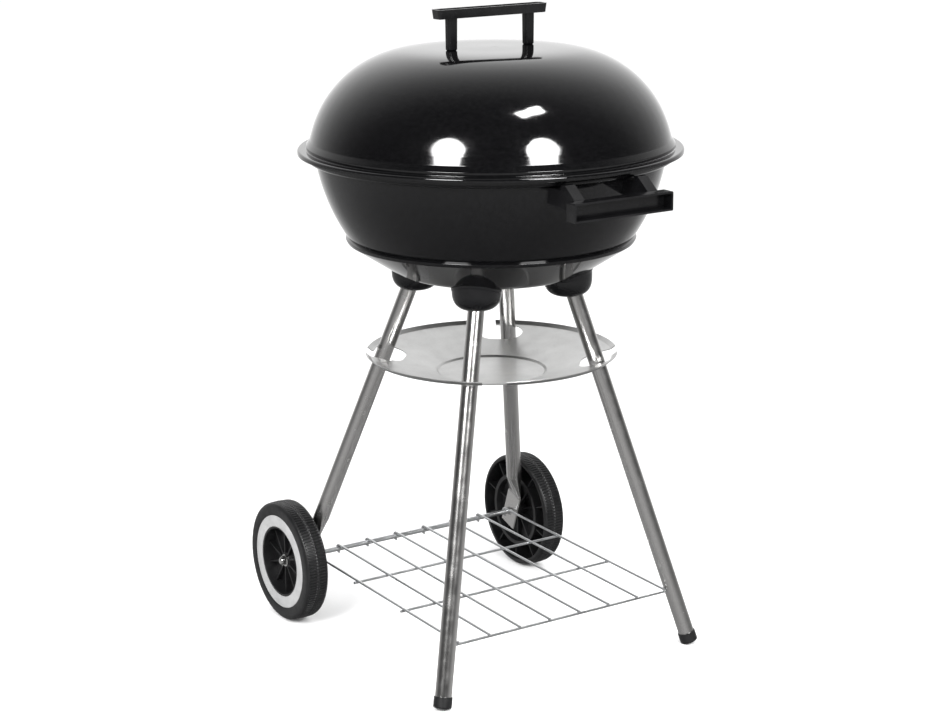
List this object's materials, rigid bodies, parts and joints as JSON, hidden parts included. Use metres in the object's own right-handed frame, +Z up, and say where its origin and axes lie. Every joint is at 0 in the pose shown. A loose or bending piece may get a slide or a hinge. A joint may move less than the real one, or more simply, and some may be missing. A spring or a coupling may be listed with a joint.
{
  "type": "kettle charcoal grill",
  "caption": "Free-standing kettle charcoal grill with a lift-off domed lid, splayed tube legs, wheels on an axle, a wire shelf and an ash catcher.",
  "frame": {"origin": "on the floor under the kettle's vertical centre line", "axes": "+Z up; X along the wheels' axle; +Y towards the wheels, -Y towards the feet and the side handle"},
  "size_m": [0.4399, 0.5121, 0.75],
  "materials": {
    "enamel": "gloss black porcelain enamel",
    "damper_aluminium": "plain rolled sheet",
    "fastener_steel": "bright zinc plate",
    "grate_wire": "chrome-plated wire",
    "handle_plastic": "satin black moulding",
    "socket_plastic": "glossy black moulding",
    "leg_steel": "polished plated tube",
    "foot_plastic": "black moulding",
    "zinc_wire": "zinc-plated wire",
    "plate_steel": "satin sheet with light rolling marks",
    "tyre": "dark grey ribbed",
    "hub_plastic": "black moulding",
    "trim_plastic": "light grey moulding"
  },
  "bodies": {
    "stand": {"axle": "zinc_wire", "axle_nuts": "fastener_steel", "axle_washers": "fastener_steel", "back_leg_left": "leg_steel", "back_leg_right": "leg_steel", "bowl": "enamel", "bowl_damper_rivet": "fastener_steel", "foot_cap_left": "foot_plastic", "foot_cap_right": "foot_plastic", "front_leg_left": "leg_steel", "front_leg_right": "leg_steel", "grate_brackets": "fastener_steel", "leg_socket_back_left": "socket_plastic", "leg_socket_back_right": "socket_plastic", "leg_socket_front_left": "socket_plastic", "leg_socket_front_right": "socket_plastic", "shelf_cross_wires": "zinc_wire", "shelf_front_bar": "zinc_wire", "shelf_long_wires": "zinc_wire", "side_handle": "handle_plastic", "side_handle_screws": "fastener_steel", "socket_screws": "fastener_steel"},
    "lid": {"lid": "enamel", "lid_damper_rivet": "fastener_steel", "lid_handle": "handle_plastic", "lid_handle_screws": "fastener_steel"},
    "lid_damper": {"lid_damper": "damper_aluminium"},
    "bowl_damper": {"bowl_damper": "damper_aluminium"},
    "charcoal_grate": {"charcoal_grate": "grate_wire"},
    "cooking_grate": {"cooking_grate": "grate_wire"},
    "ash_catcher": {"ash_catcher": "plate_steel"},
    "left_wheel": {"tyre_left": "tyre", "wheel_hub_left": "hub_plastic", "trim_ring_left": "trim_plastic"},
    "right_wheel": {"tyre_right": "tyre", "wheel_hub_right": "hub_plastic", "trim_ring_right": "trim_plastic"}
  },
  "joints": [
    {"name": "lid_lift", "type": "slide", "parent": "stand", "child": "lid", "axis": [0, 0, 1], "range_m": [0, 0.25]},
    {"name": "lid_damper_turn", "type": "hinge", "parent": "lid", "child": "lid_damper", "pos_m": [0, 0.14752, 0.68175], "axis": [0, 0.5299, 0.848], "range_deg": [0, 60]},
    {"name": "cooking_grate_lift", "type": "slide", "parent": "stand", "child": "cooking_grate", "axis": [0, 0, 1], "range_m": [0, 0.015]},
    {"name": "charcoal_grate_lift", "type": "slide", "parent": "stand", "child": "charcoal_grate", "axis": [0, 0, 1], "range_m": [0, 0.04]},
    {"name": "ash_catcher_lift", "type": "slide", "parent": "stand", "child": "ash_catcher", "axis": [0, 0, 1], "range_m": [0, 0.018]},
    {"name": "bowl_damper_turn", "type": "hinge", "parent": "stand", "child": "bowl_damper", "pos_m": [0, 0, 0.4455], "axis": [0, 0, 1], "range_deg": [0, 60]},
    {"name": "left_wheel_spin", "type": "hinge", "parent": "stand", "child": "left_wheel", "pos_m": [0, 0.1865, 0.0733], "axis": [1, 0, 0], "continuous": true},
    {"name": "right_wheel_spin", "type": "hinge", "parent": "stand", "child": "right_wheel", "pos_m": [0, 0.1865, 0.0733], "axis": [1, 0, 0], "continuous": true}
  ]
}
